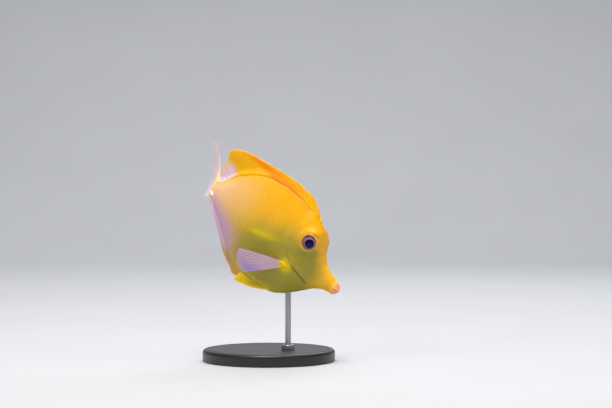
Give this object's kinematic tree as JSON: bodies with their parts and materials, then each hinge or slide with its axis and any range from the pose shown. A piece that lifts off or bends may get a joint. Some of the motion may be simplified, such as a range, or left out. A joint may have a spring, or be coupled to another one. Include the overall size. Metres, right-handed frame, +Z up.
{
  "type": "sea fish display model",
  "caption": "Life-size yellow surgeonfish with a deep thin body, long snout and fins folded low, swimming nose down on a rod above a round base.",
  "frame": {"origin": "centre of the display base's underside", "axes": "+X the way the fish heads, +Y its left side, +Z up; the fish's nose points 33.3 degrees below +X"},
  "size_m": [0.132, 0.09, 0.1515],
  "materials": {
    "yellow_skin": "satin yellow skin with fine scales",
    "yellow_fin": "thin deep yellow fin web over raised rays",
    "clear_fin": "thin, nearly clear fin web over raised rays",
    "eye_dark": "wet, polished",
    "spine_white": "smooth white bone",
    "base_black": "black satin lacquer",
    "rod_steel": "brushed"
  },
  "bodies": {
    "root": {"head": "yellow_skin", "trunk": "yellow_skin", "tail_stem": "yellow_skin", "eye_right": "eye_dark", "eye_left": "eye_dark", "dorsal_fin": "yellow_fin", "anal_fin": "yellow_fin", "tail_fin": "yellow_fin", "pectoral_fin_right": "clear_fin", "pectoral_fin_left": "clear_fin", "pelvic_fin_right": "yellow_fin", "pelvic_fin_left": "yellow_fin", "tail_spine_right": "spine_white", "tail_spine_left": "spine_white", "stand_base": "base_black", "stand_rod": "rod_steel"}
  },
  "joints": []
}
